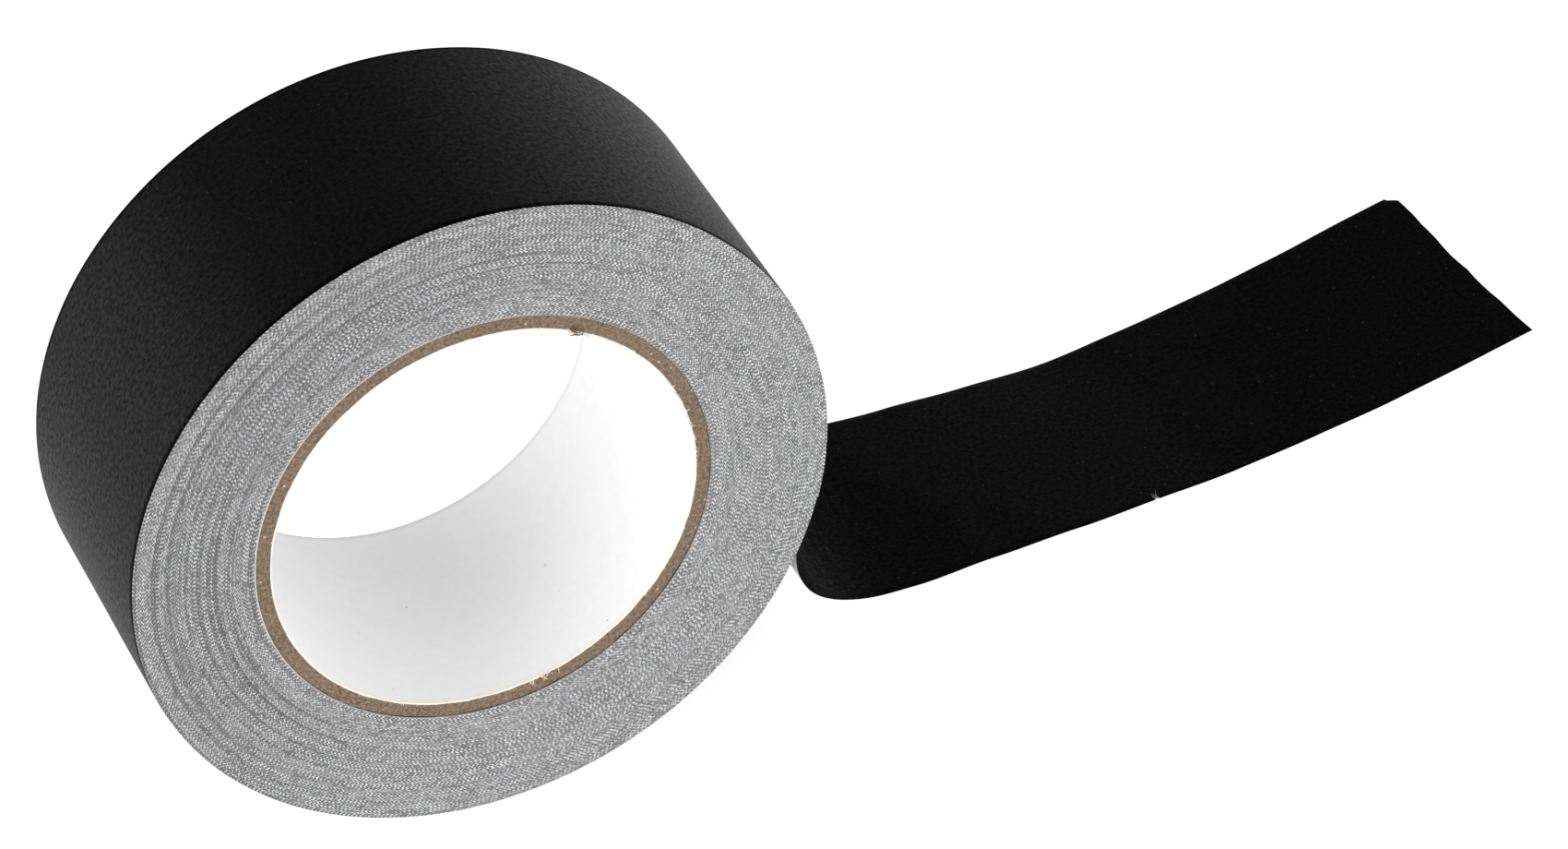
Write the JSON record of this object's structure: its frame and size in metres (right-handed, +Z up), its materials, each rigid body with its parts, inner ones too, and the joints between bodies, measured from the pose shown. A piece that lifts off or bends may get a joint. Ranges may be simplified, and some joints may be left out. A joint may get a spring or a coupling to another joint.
{
  "type": "duct tape roll",
  "caption": "Roll of black cloth-backed tape on a paper-lined board core, standing on its rim, with its free end peeled off and lying along the table.",
  "frame": {"origin": "bottom centre of the bounding box, on the surface that the roll stands on", "axes": "+Z up, the roll's axis along Y with its front side face towards -Y, and the free end of the tape lying along +X"},
  "size_m": [0.2566, 0.0496, 0.1249],
  "materials": {
    "tape_film": "matte",
    "tape_edges": "matte",
    "kraft_board": "matte",
    "liner_paper": "matte"
  },
  "bodies": {
    "roll": {"core_liner": "liner_paper", "core_ply_1": "kraft_board", "core_ply_2": "kraft_board", "core_ply_3": "kraft_board", "core_ply_4": "kraft_board", "core_ply_5": "kraft_board", "tape_pack": "tape_edges", "tape_outer_turn": "tape_film"},
    "bend_1": {"tape_bend_1": "tape_film"},
    "bend_2": {"tape_bend_2": "tape_film"},
    "bend_3": {"tape_bend_3": "tape_film"},
    "tail_1": {"tape_tail_1": "tape_film"},
    "tail_2": {"tape_tail_2": "tape_film"},
    "tail_3": {"tape_tail_3": "tape_film"},
    "tail_4": {"tape_tail_4": "tape_film"},
    "tail_5": {"tape_tail_5": "tape_film"},
    "tail_6": {"tape_tail_6": "tape_film"},
    "tail_7": {"tape_tail_7": "tape_film"},
    "tail_8": {"tape_tail_8": "tape_film"}
  },
  "joints": [
    {"name": "peel", "type": "hinge", "parent": "roll", "child": "bend_1", "pos_m": [-0.01399, 0, 0.02732], "axis": [0, -1, 0], "range_deg": [0, 100]},
    {"name": "unbend_2", "type": "hinge", "parent": "bend_1", "child": "bend_2", "pos_m": [-0.01261, 0, 0.01762], "axis": [0, -1, 0], "range_deg": [-26, 0]},
    {"name": "unbend_3", "type": "hinge", "parent": "bend_2", "child": "bend_3", "pos_m": [-0.00385, 0, 0.01131], "axis": [0, -1, 0], "range_deg": [-24, 0]},
    {"name": "flex_1", "type": "hinge", "parent": "bend_3", "child": "tail_1", "pos_m": [0.00582, 0, 0.00884], "axis": [0, -0.9999, 0.0141], "range_deg": [0, 10]},
    {"name": "flex_2", "type": "hinge", "parent": "tail_1", "child": "tail_2", "pos_m": [0.02167, 0, 0.00668], "axis": [0, -0.9987, 0.0504], "range_deg": [0, 10]},
    {"name": "flex_3", "type": "hinge", "parent": "tail_2", "child": "tail_3", "pos_m": [0.03754, 0, 0.00462], "axis": [0, -0.9971, 0.0765], "range_deg": [0, 10]},
    {"name": "flex_4", "type": "hinge", "parent": "tail_3", "child": "tail_4", "pos_m": [0.05345, 0, 0.00295], "axis": [0, -0.9951, 0.0985], "range_deg": [0, 10]},
    {"name": "flex_5", "type": "hinge", "parent": "tail_4", "child": "tail_5", "pos_m": [0.06944, 0, 0.00246], "axis": [0, -0.9971, 0.0765], "range_deg": [0, 10]},
    {"name": "flex_6", "type": "hinge", "parent": "tail_5", "child": "tail_6", "pos_m": [0.08543, 0, 0.0028], "axis": [0, -0.9979, 0.0645], "range_deg": [0, 10]},
    {"name": "flex_7", "type": "hinge", "parent": "tail_6", "child": "tail_7", "pos_m": [0.1014, 0, 0.00373], "axis": [0, -0.9988, 0.0484], "range_deg": [0, 10]},
    {"name": "flex_8", "type": "hinge", "parent": "tail_7", "child": "tail_8", "pos_m": [0.11732, 0, 0.00533], "axis": [0, -0.9993, 0.0363], "range_deg": [0, 10]}
  ],
  "couplings": [
    {"joint": "unbend_2", "follows": "peel", "ratio": -0.26},
    {"joint": "unbend_3", "follows": "peel", "ratio": -0.24},
    {"joint": "flex_2", "follows": "flex_1", "ratio": 1},
    {"joint": "flex_3", "follows": "flex_1", "ratio": 1},
    {"joint": "flex_4", "follows": "flex_1", "ratio": 1},
    {"joint": "flex_5", "follows": "flex_1", "ratio": 1},
    {"joint": "flex_6", "follows": "flex_1", "ratio": 1},
    {"joint": "flex_7", "follows": "flex_1", "ratio": 1},
    {"joint": "flex_8", "follows": "flex_1", "ratio": 1}
  ]
}
